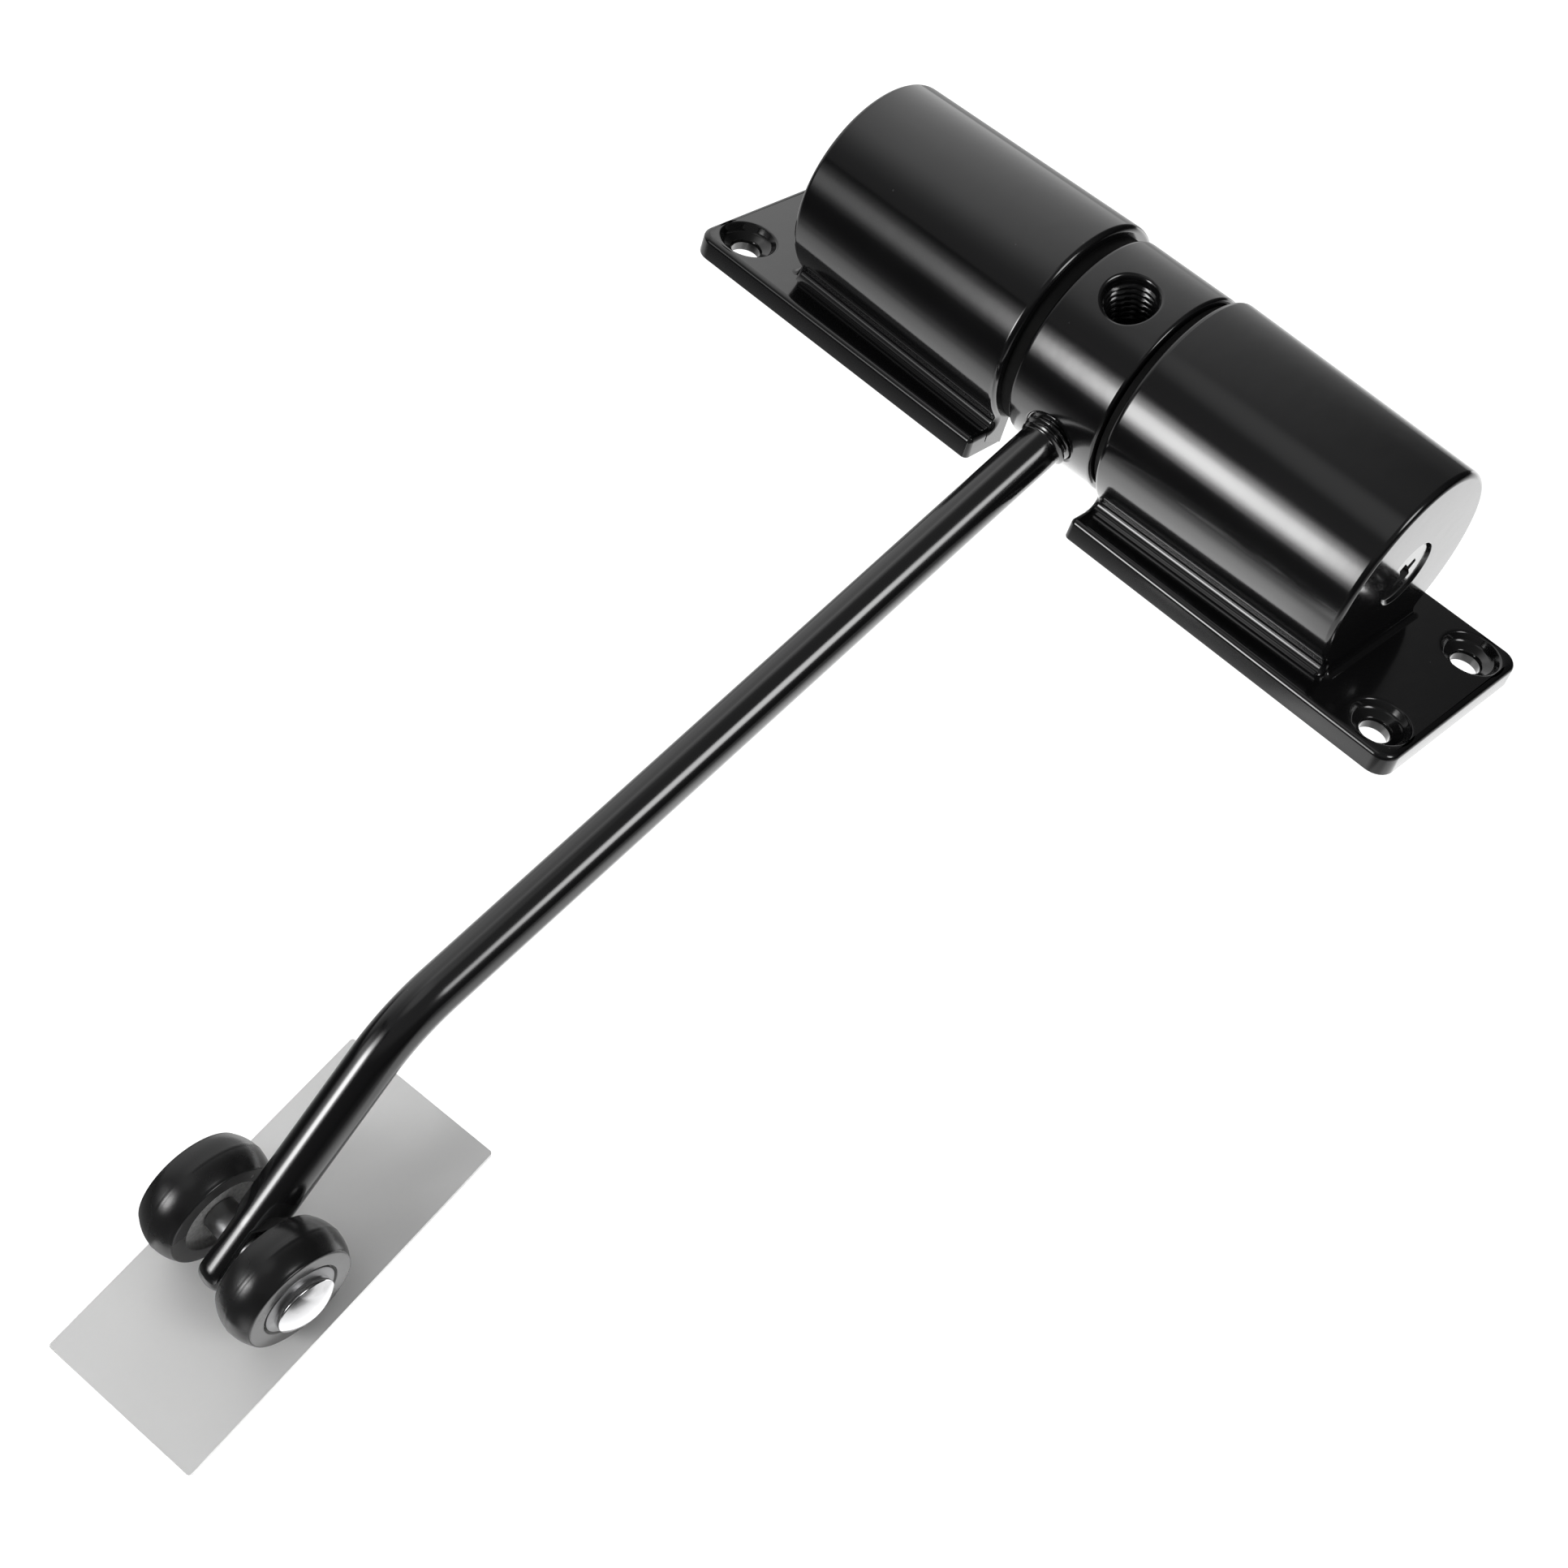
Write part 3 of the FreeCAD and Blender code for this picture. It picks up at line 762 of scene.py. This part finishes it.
def arm_station(s):
    """Place and direction of the arm's centre line at a length s from the hub's axis."""
    bend_length = bend_radius * (tip_down - arm_down)
    ahead = Vector((0.0, -math.cos(arm_down), -math.sin(arm_down)))
    if s <= arm_run:
        return hub_centre + ahead * s, arm_down
    start = hub_centre + ahead * arm_run
    middle = start + Vector((0.0, math.sin(arm_down), -math.cos(arm_down))) * bend_radius
    turn = arm_down + min(s - arm_run, bend_length) / bend_radius
    place = middle - Vector((0.0, math.sin(turn), -math.cos(turn))) * bend_radius
    beyond = max(0.0, s - arm_run - bend_length)
    return place + Vector((0.0, -math.cos(turn), -math.sin(turn))) * beyond, turn


axle_at = arm_run + bend_radius * (tip_down - arm_down) + tip_run
flat_full = axle_at - flat_length
flat_start = flat_full - flatten_length
round_start = axle_at + end_reach


def arm_section(s):
    """Half thickness along X, half width across, and how far the flats are pressed at s.

    Beyond round_start the end of the rod is rounded off and slightly chamfered."""
    share = min(1.0, max(0.0, (s - flat_start) / flatten_length))
    ease = share * share * (3 - 2 * share)
    thin = rod_radius + (tip_half_thickness - rod_radius) * ease
    wide = rod_radius + (tip_half_width - rod_radius) * ease
    if s > round_start:
        drop = min(1.0, (s - round_start) / rod_radius)
        wide *= math.sqrt(max(1e-5, 1 - drop ** 2.4))
        thin -= 0.7 * drop ** 5
    return thin, wide, min(1.0, 4 * ease)


def arm_ring(s, thin, wide, pressed):
    """A round section whose two sides are pressed flat, with a soft corner along each flat."""
    place, turn = arm_station(s)
    across = Vector((0.0, math.sin(turn), -math.cos(turn)))
    flat_corner = 12
    ring = []
    for k in range(rod_around):
        a = 2 * math.pi * (k + 0.5) / rod_around
        x = math.cos(a) * max(wide, thin)
        flat = x / (1 + abs(x / thin) ** flat_corner) ** (1 / flat_corner)
        ring.append(place + Vector((x + (flat - x) * pressed, 0, 0)) + across * math.sin(a) * wide)
    return ring


thread_steps = 12
root_end = hub_radius + thread_show
thread_rows = int((root_end - 0.6 - root_depth) / thread_pitch * thread_steps)


def arm_thread_ring(i):
    """One ring of the root's thread, which fades out at both of its ends."""
    place, turn = arm_station(root_depth + i * thread_pitch / thread_steps)
    across = Vector((0.0, math.sin(turn), -math.cos(turn)))
    fade = min(1.0, (thread_rows - i) / (thread_steps * 0.6), i / thread_steps)
    root_radius = rod_radius - 0.05
    ring = []
    for k in range(rod_around):
        ridge = thread_ridge((i / thread_steps + k / rod_around) % 1.0, 1.7, 0.35)
        radius = root_radius + (thread_outer - rod_radius + 0.05) * ridge * fade
        a = 2 * math.pi * (k + 0.5) / rod_around
        ring.append(place + Vector((1, 0, 0)) * math.cos(a) * radius + across * math.sin(a) * radius)
    return ring


def arm_stations():
    """Lengths from the hub's axis: straight run, bend, straight tip, flats and rounded end."""
    stations = [root_end, root_end + 1.0]
    stations += [root_end + 1 + (arm_run - root_end - 1) * i / 24 for i in range(1, 25)]
    stations += [arm_run + bend_radius * (tip_down - arm_down) * i / 20 for i in range(1, 21)]
    bend_end = stations[-1]
    stations += [bend_end + (flat_start - bend_end) * i / 6 for i in range(1, 7)]
    stations += [flat_start + flatten_length * i / 14 for i in range(1, 15)]
    stations += [flat_full + (round_start - flat_full) * i / 6 for i in range(1, 7)]
    return stations + [round_start + rod_radius * math.sin(math.pi / 2 * i / 20) for i in range(1, 21)]


arm_bm = bmesh.new()
arm_rows = [arm_thread_ring(i) for i in range(thread_rows + 1)]
arm_rows += [arm_ring(s, *arm_section(s)) for s in arm_stations()]
arm_made = add_rows(arm_bm, arm_rows, True)
arm_bm.faces.new(arm_made[0])
arm_bm.faces.new(arm_made[-1])
finish_piece("bent_arm", arm_bm, arm_paint, "arm_body", ["arm"], sharp=50)


# Rollers: two moulded black nylon wheels with a crowned tread, a flat rim face and a shallow
# recess, free to turn on the riveted axle on both sides of the arm's flats.
axle_x, axle_y, axle_z = [v / mm for v in joints["roller_near_spin"]["pos_m"]]
roller_inner = 5.6
roller_outer = 14.7
roller_crown = 11.7
roller_rim = 10.2
recess_radius = 7.5
recess_floor = 1.2
axle_bore = 2.45
roller_nylon = moulded_plastic("roller_black_nylon", (0.009, 0.009, 0.0093), roughness=0.25,
                               grain_scale=700.0, grain_depth=0.12)


def roller_sheen_and_recess_light(material):
    """Painted sheen as a lighter grey on the rim faces, and painted reflected light in the recesses as grey
    speckles like dust, by distance from the axle.
    """
    nodes, links = material.node_tree.nodes, material.node_tree.links
    shader = nodes["Principled BSDF"]
    clean = shader.inputs["Base Color"].links[0].from_socket
    place = nodes.new("ShaderNodeTexCoord").outputs["Object"]
    flat = nodes.new("ShaderNodeVectorMath")
    flat.operation = "MULTIPLY_ADD"
    flat.inputs[1].default_value = (0.0, 1.0, 1.0)
    flat.inputs[2].default_value = (0.0, -axle_y * mm, -axle_z * mm)
    away = nodes.new("ShaderNodeVectorMath")
    away.operation = "LENGTH"
    links.new(place, flat.inputs[0])
    links.new(flat.outputs["Vector"], away.inputs[0])
    radius = away.outputs["Value"]
    face_sheen_share = remapped(nodes, links, radius, (roller_rim + 0.15) * mm, (roller_rim - 0.1) * mm, 0.0, 0.45)
    inside = remapped(nodes, links, radius, (recess_radius + 0.1) * mm, (recess_radius - 0.25) * mm)
    specks = texture_at(nodes, links, "ShaderNodeTexNoise", place, Scale=1500.0, Detail=4.0)
    # The grey on the rim face is a painted sheen, and the light speckled grey in the recess is painted
    # reflected light with a dust-like speckle.
    face_sheen_tint = two_tones(nodes, links, face_sheen_share, clean, (0.16, 0.16, 0.16))
    dust = two_tones(nodes, links, specks.outputs["Fac"], (0.22, 0.22, 0.22), (0.75, 0.75, 0.74))
    links.new(two_tones(nodes, links, inside, face_sheen_tint, dust), shader.inputs["Base Color"])


# Both rollers get the painted sheen on their rim faces and the painted reflected light in their recesses.
roller_sheen_and_recess_light(roller_nylon)


def roller_face(edge, x, inward):
    """One face from the tread's edge over the rim to the recess and the bore."""
    floor = x + inward * recess_floor
    return softened([
        edge + (0,), (x, edge[1] - 0.15, 0.5), (x, recess_radius, 0.2),
        (floor, recess_radius - 0.3, 0.3), (floor, axle_bore, 0)])


def roller_outline():
    """A crowned tread with a faint parting line, between two recessed faces."""
    middle = (roller_inner + roller_outer) / 2
    half = (roller_outer - roller_inner) / 2
    bulge = roller_crown - roller_rim
    ball = (half ** 2 + bulge ** 2) / (2 * bulge)
    swing = math.degrees(math.asin((half - 0.45) / ball))
    crown = []
    for i in range(29):
        turn = math.radians(swing - 2 * swing * i / 28)
        parting = 0.07 * math.exp(-((turn * ball) / 0.16) ** 2)
        crown.append((middle - ball * math.sin(turn),
                      roller_crown - ball * (1 - math.cos(turn)) + parting))
    front = roller_face(crown[0], roller_inner, 1)
    back = roller_face(crown[-1], roller_outer, -1)
    return front[::-1] + crown[1:-1] + back + [front[-1]]


for side, hand in ((1, "near"), (-1, "far")):
    roller_bm = bmesh.new()
    add_turned(roller_bm, roller_outline(), (axle_x, axle_y, axle_z), side, 144)
    finish_piece("crowned_roller_" + hand, roller_bm, roller_nylon, f"roller_{hand}_body",
                 ["roller_" + hand], sharp=42)


# Axle, washers and spacers: a bright plated rivet with a low domed head each end, thin zinc plated
# washers under the heads, and plain steel collars between the arm's flats and the rollers.
rivet_plating = machined_metal("rivet_plating", (0.76, 0.76, 0.77), roughness=0.1,
                               grain_scale=200.0, grain_depth=0.03)
zinc_steel = machined_metal("zinc_steel", (0.30, 0.30, 0.305), roughness=0.42, grain_scale=260.0,
                            grain_depth=0.2)
washer_inner_x = 13.8
washer_outer_x = 14.6
washer_radius = 7.0
washer_rise = 0.4
head_radius = 5.75
head_height = 3.4
head_wall = 1.55
rivet_radius = 2.38

rivet_bm = bmesh.new()
dome_height = head_height - head_wall
ball = (head_radius ** 2 + dome_height ** 2) / (2 * dome_height)
swing = math.asin((head_radius - 0.3) / ball)
for side in (-1, 1):
    dome = [(washer_outer_x + head_height - ball * (1 - math.cos(swing * i / 24)),
             ball * math.sin(swing * i / 24)) for i in range(25)]
    rim = softened([
        dome[-1] + (0,), (washer_outer_x + head_wall + 0.05, head_radius - 0.04, 0.3),
        (washer_outer_x, head_radius - 0.15, 0.1), (washer_outer_x, rivet_radius, 0), (0.0, rivet_radius, 0)])
    add_turned(rivet_bm, (dome[:-1] + rim)[::-1], (axle_x, axle_y, axle_z), side, 96)
finish_piece("domed_rivet", rivet_bm, rivet_plating, "arm_body", ["roller_axle"])

washers_bm = bmesh.new()
for side in (-1, 1):
    washer = softened([
        (washer_inner_x, axle_bore, 0), (washer_inner_x, washer_radius, 0.15),
        (washer_outer_x, washer_radius, 0.25), (washer_outer_x + washer_rise, head_radius - 0.1, 0.3),
        (washer_outer_x + washer_rise, axle_bore, 0), (washer_inner_x, axle_bore, 0)])
    add_turned(washers_bm, washer, (axle_x, axle_y, axle_z), side, 96)
finish_piece("rivet_washers", washers_bm, zinc_steel, "arm_body", ["axle_washers"])
dress("roller_spacer_near", zinc_steel)
dress("roller_spacer_far", zinc_steel)


# Wear plate: a loose piece of thin satin sheet metal under the rollers, guillotined, with a
# faint rolled grain and dull smudges. In use it is stuck to the door leaf.
sheet_tilt = math.radians(20)
sheet_swing = math.radians(5.5)


def satin_sheet():
    material, nodes, links = new_material("satin_sheet")
    shader = nodes["Principled BSDF"]
    shader.inputs["Metallic"].default_value = 0.25
    rolled = placed(nodes, fine_grain, {
        "Stretch": (1.0, 0.05, 0.05), "Turn": (sheet_tilt, 0.0, sheet_swing), "Scale": 1400.0,
        "Depth": 0.12, "Patch Scale": 26.0, "Patch Detail": 6.0, "Patch Roughness": 0.65})
    cloud = rolled.outputs["Patch"]
    tint = two_tones(nodes, links, remapped(nodes, links, cloud, 0.35, 0.8),
                     (1.0, 1.0, 0.995), (0.90, 0.90, 0.895))
    rough = remapped(nodes, links, cloud, 0.3, 0.7, 0.34, 0.5)
    surface(links, shader, tint, rough, rolled.outputs["Normal"])
    return material


dress("wear_plate", satin_sheet())


# Studio: a white table just below the wear plate, a large soft box in front behind the camera,
# and far lights that only the closer sees: a box on the right and a large wall on the left.
floor_height = -0.112
table_size = 8.0
camera_white = 1.2


def curve_of(nodes, links, value, stops):
    """A one-dimensional curve through (position, level) stops, levels from 0 to 1."""
    low, high = stops[0][0], stops[-1][0]
    ramp = nodes.new("ShaderNodeValToRGB")
    ramp.color_ramp.interpolation = "LINEAR" if len(stops) > 2 else "EASE"
    elements = ramp.color_ramp.elements
    while len(elements) < len(stops):
        elements.new(0.5)
    for element, (at, level) in zip(elements, stops):
        element.position = (at - low) / (high - low)
        element.color = (level, level, level, 1.0)
    links.new(remapped(nodes, links, value, low, high), ramp.inputs["Fac"])
    return ramp.outputs["Color"]


def combined(nodes, links, operation, *values):
    """The values added or multiplied in turn, each a number or another node's output."""
    total = values[0]
    for value in values[1:]:
        step = nodes.new("ShaderNodeMath")
        step.operation = operation
        links.new(total, step.inputs[0])
        if isinstance(value, float):
            step.inputs[1].default_value = value
        else:
            links.new(value, step.inputs[1])
        total = step.outputs[0]
    return total


def soft_spot(nodes, links, direction, azimuth, elevation, inner, outer, strength):
    """A round soft box in a direction, full inside one angle and gone outside the other."""
    a, e = math.radians(azimuth), math.radians(elevation)
    towards = nodes.new("ShaderNodeVectorMath")
    towards.operation = "DOT_PRODUCT"
    towards.inputs[1].default_value = (math.cos(e) * math.cos(a), math.cos(e) * math.sin(a), math.sin(e))
    links.new(direction, towards.inputs[0])
    level = curve_of(nodes, links, towards.outputs["Value"],
                     [(math.cos(math.radians(outer)), 0.0), (math.cos(math.radians(inner)), 1.0)])
    return combined(nodes, links, "MULTIPLY", level, strength)


def studio_light(nodes, links, direction):
    """Light that arrives from each direction: wall, box on the right, glow in front and air."""
    split = nodes.new("ShaderNodeSeparateXYZ")
    links.new(direction, split.inputs["Vector"])
    x, y, z = split.outputs
    wall = combined(
        nodes, links, "MULTIPLY",
        curve_of(nodes, links, x, [
            (-1.0, 0.64), (-0.84, 0.62), (-0.72, 0.54), (-0.58, 0.60), (-0.50, 0.92), (-0.40, 0.60),
            (-0.34, 0.42), (-0.29, 0.25), (-0.24, 0.09), (-0.16, 0.02), (0.05, 0.0)]),
        curve_of(nodes, links, y, [
            (-0.72, 0.0), (-0.62, 0.04), (-0.50, 0.18), (-0.43, 0.30), (-0.33, 0.48),
            (-0.20, 0.68), (-0.05, 0.78), (0.10, 0.84), (0.35, 0.97), (0.60, 1.0)]), 1.2)
    right_box = soft_spot(nodes, links, direction, azimuth=2, elevation=42, inner=3, outer=15.5,
                          strength=6.0)
    front_glow = soft_spot(nodes, links, direction, azimuth=255, elevation=62, inner=6, outer=18,
                           strength=0.34)
    air = combined(
        nodes, links, "MULTIPLY",
        curve_of(nodes, links, y, [(-1.0, 0.15), (0.10, 0.13), (0.50, 0.07), (0.75, 0.03), (1.0, 0.03)]),
        curve_of(nodes, links, z, [(0.0, 0.25), (0.28, 0.35), (0.45, 1.0), (1.0, 1.0)]))
    return combined(nodes, links, "ADD", wall, right_box, front_glow, air)


def white_when_seen(nodes, links, level):
    """Plain white to the camera and the level to all else, with the mask of what it sees."""
    seen = nodes.new("ShaderNodeLightPath").outputs["Is Camera Ray"]
    pick = nodes.new("ShaderNodeMix")
    pick.inputs["B"].default_value = camera_white
    links.new(seen, pick.inputs["Factor"])
    links.new(level, pick.inputs["A"])
    return pick.outputs["Result"], seen


def glowing_cloth(name):
    """A black cloth that gives its own white light, with the nodes for where it glows."""
    material, nodes, links = new_material(name)
    shader = nodes["Principled BSDF"]
    shader.inputs["Base Color"].default_value = (0.0, 0.0, 0.0, 1.0)
    shader.inputs["Specular IOR Level"].default_value = 0.0
    shader.inputs["Emission Color"].default_value = (1.0, 1.0, 1.0, 1.0)
    place = nodes.new("ShaderNodeNewGeometry")
    split = nodes.new("ShaderNodeSeparateXYZ")
    links.new(place.outputs["Position"], split.inputs["Vector"])
    return material, nodes, links, shader, place, split


def table_material():
    """White to the camera, clear from below; to the closer brightest under its middle."""
    material, nodes, links, shader, place, split = glowing_cloth("white_table")
    x, y = split.outputs["X"], split.outputs["Y"]
    across = curve_of(nodes, links, x, [
        (-0.30, 0.25), (-0.20, 0.34), (-0.13, 0.42), (-0.08, 0.57), (-0.035, 0.86), (0.0, 1.0),
        (0.04, 0.92), (0.12, 0.92), (0.20, 0.65), (0.30, 0.42), (0.50, 0.16)])
    ahead = nodes.new("ShaderNodeMix")
    links.new(curve_of(nodes, links, x, [(0.015, 0.0), (0.045, 1.0)]), ahead.inputs["Factor"])
    links.new(curve_of(nodes, links, y, [
        (-0.30, 0.02), (-0.245, 0.04), (-0.19, 0.12), (-0.17, 0.22), (-0.158, 0.38), (-0.135, 0.50),
        (-0.12, 0.80), (-0.10, 1.0), (0.06, 1.0), (0.18, 0.77)]), ahead.inputs["A"])
    links.new(curve_of(nodes, links, y, [
        (-0.22, 0.05), (-0.168, 0.14), (-0.152, 0.50), (-0.10, 0.52), (-0.07, 0.62), (-0.03, 0.92),
        (0.06, 1.0), (0.18, 0.77)]), ahead.inputs["B"])
    under_closer = combined(nodes, links, "MULTIPLY", across, ahead.outputs["Result"], 2.2)
    beside_rollers = combined(
        nodes, links, "MULTIPLY",
        curve_of(nodes, links, x, [(0.010, 0.0), (0.022, 1.0), (0.044, 0.72), (0.074, 0.45),
                                   (0.112, 0.10), (0.18, 0.0)]),
        curve_of(nodes, links, y, [(-0.27, 0.0), (-0.21, 0.9), (-0.17, 1.0), (-0.148, 0.0)]), 1.4)
    level = combined(nodes, links, "ADD", under_closer, beside_rollers)
    light, seen = white_when_seen(nodes, links, level)
    links.new(light, shader.inputs["Emission Strength"])
    below = combined(nodes, links, "MULTIPLY", seen, place.outputs["Backfacing"])
    links.new(remapped(nodes, links, below, 1.0, 0.0), shader.inputs["Alpha"])
    return material


def soft_box_material():
    """Light that fades unevenly towards the cloth's edges."""
    material, nodes, links, shader, place, split = glowing_cloth("soft_box_cloth")
    across = curve_of(nodes, links, split.outputs["X"], [
        (-1.0, 0.03), (-0.75, 0.08), (-0.577, 0.09), (-0.495, 0.12), (-0.413, 0.22), (-0.359, 0.62),
        (-0.31, 0.88), (-0.248, 1.0), (-0.15, 1.0), (-0.115, 0.5), (-0.06, 0.12), (0.03, 0.0)])
    up = curve_of(nodes, links, split.outputs["Z"], [
        (-0.207, 0.0), (-0.116, 0.05), (-0.042, 0.20), (0.031, 0.65), (0.086, 0.95), (0.159, 1.0),
        (0.232, 0.88), (0.305, 0.42), (0.369, 0.24), (0.452, 0.04), (0.525, 0.0)])
    links.new(combined(nodes, links, "MULTIPLY", across, up, 12.3), shader.inputs["Emission Strength"])
    return material


def flat_sheet(name, corners, material):
    mesh = bpy.data.meshes.new(name)
    mesh.from_pydata(corners, [], [(0, 1, 2, 3)])
    mesh.materials.append(material)
    sheet = bpy.data.objects.new(name, mesh)
    bpy.context.scene.collection.objects.link(sheet)
    return sheet


half = table_size / 2
flat_sheet("table_top", [(-half, -half, floor_height), (half, -half, floor_height),
                         (half, half, floor_height), (-half, half, floor_height)], table_material())
box_left, box_right, box_front, box_low, box_high = -1.0, 0.05, -0.9, -0.21, 0.53
soft_box = flat_sheet("front_soft_box", [
    (box_left, box_front, box_low), (box_left, box_front, box_high),
    (box_right, box_front, box_high), (box_right, box_front, box_low)], soft_box_material())
soft_box.visible_camera = False

world = bpy.data.worlds.new("studio_air")
bpy.context.scene.world = world
world.use_nodes = True
air, links = world.node_tree.nodes, world.node_tree.links
background = air["Background"]
background.inputs["Color"].default_value = (1.0, 1.0, 1.0, 1.0)
towards = air.new("ShaderNodeTexCoord").outputs["Generated"]
light, seen = white_when_seen(air, links, studio_light(air, links, towards))
links.new(light, background.inputs["Strength"])

camera_data = bpy.data.cameras.new("photo_camera")
camera_data.sensor_width = 36.0
camera_data.lens = 57.64
camera_data.clip_start = 0.01
camera = bpy.data.objects.new("photo_camera", camera_data)
camera.location = (0.167085, -0.349184, 0.274370)
camera.rotation_euler = [math.radians(a) for a in (43.866, -12.963, 43.814)]
bpy.context.scene.collection.objects.link(camera)
bpy.context.scene.camera = camera
bpy.context.scene.view_settings.view_transform = "Standard"
bpy.context.scene.view_settings.look = "None"
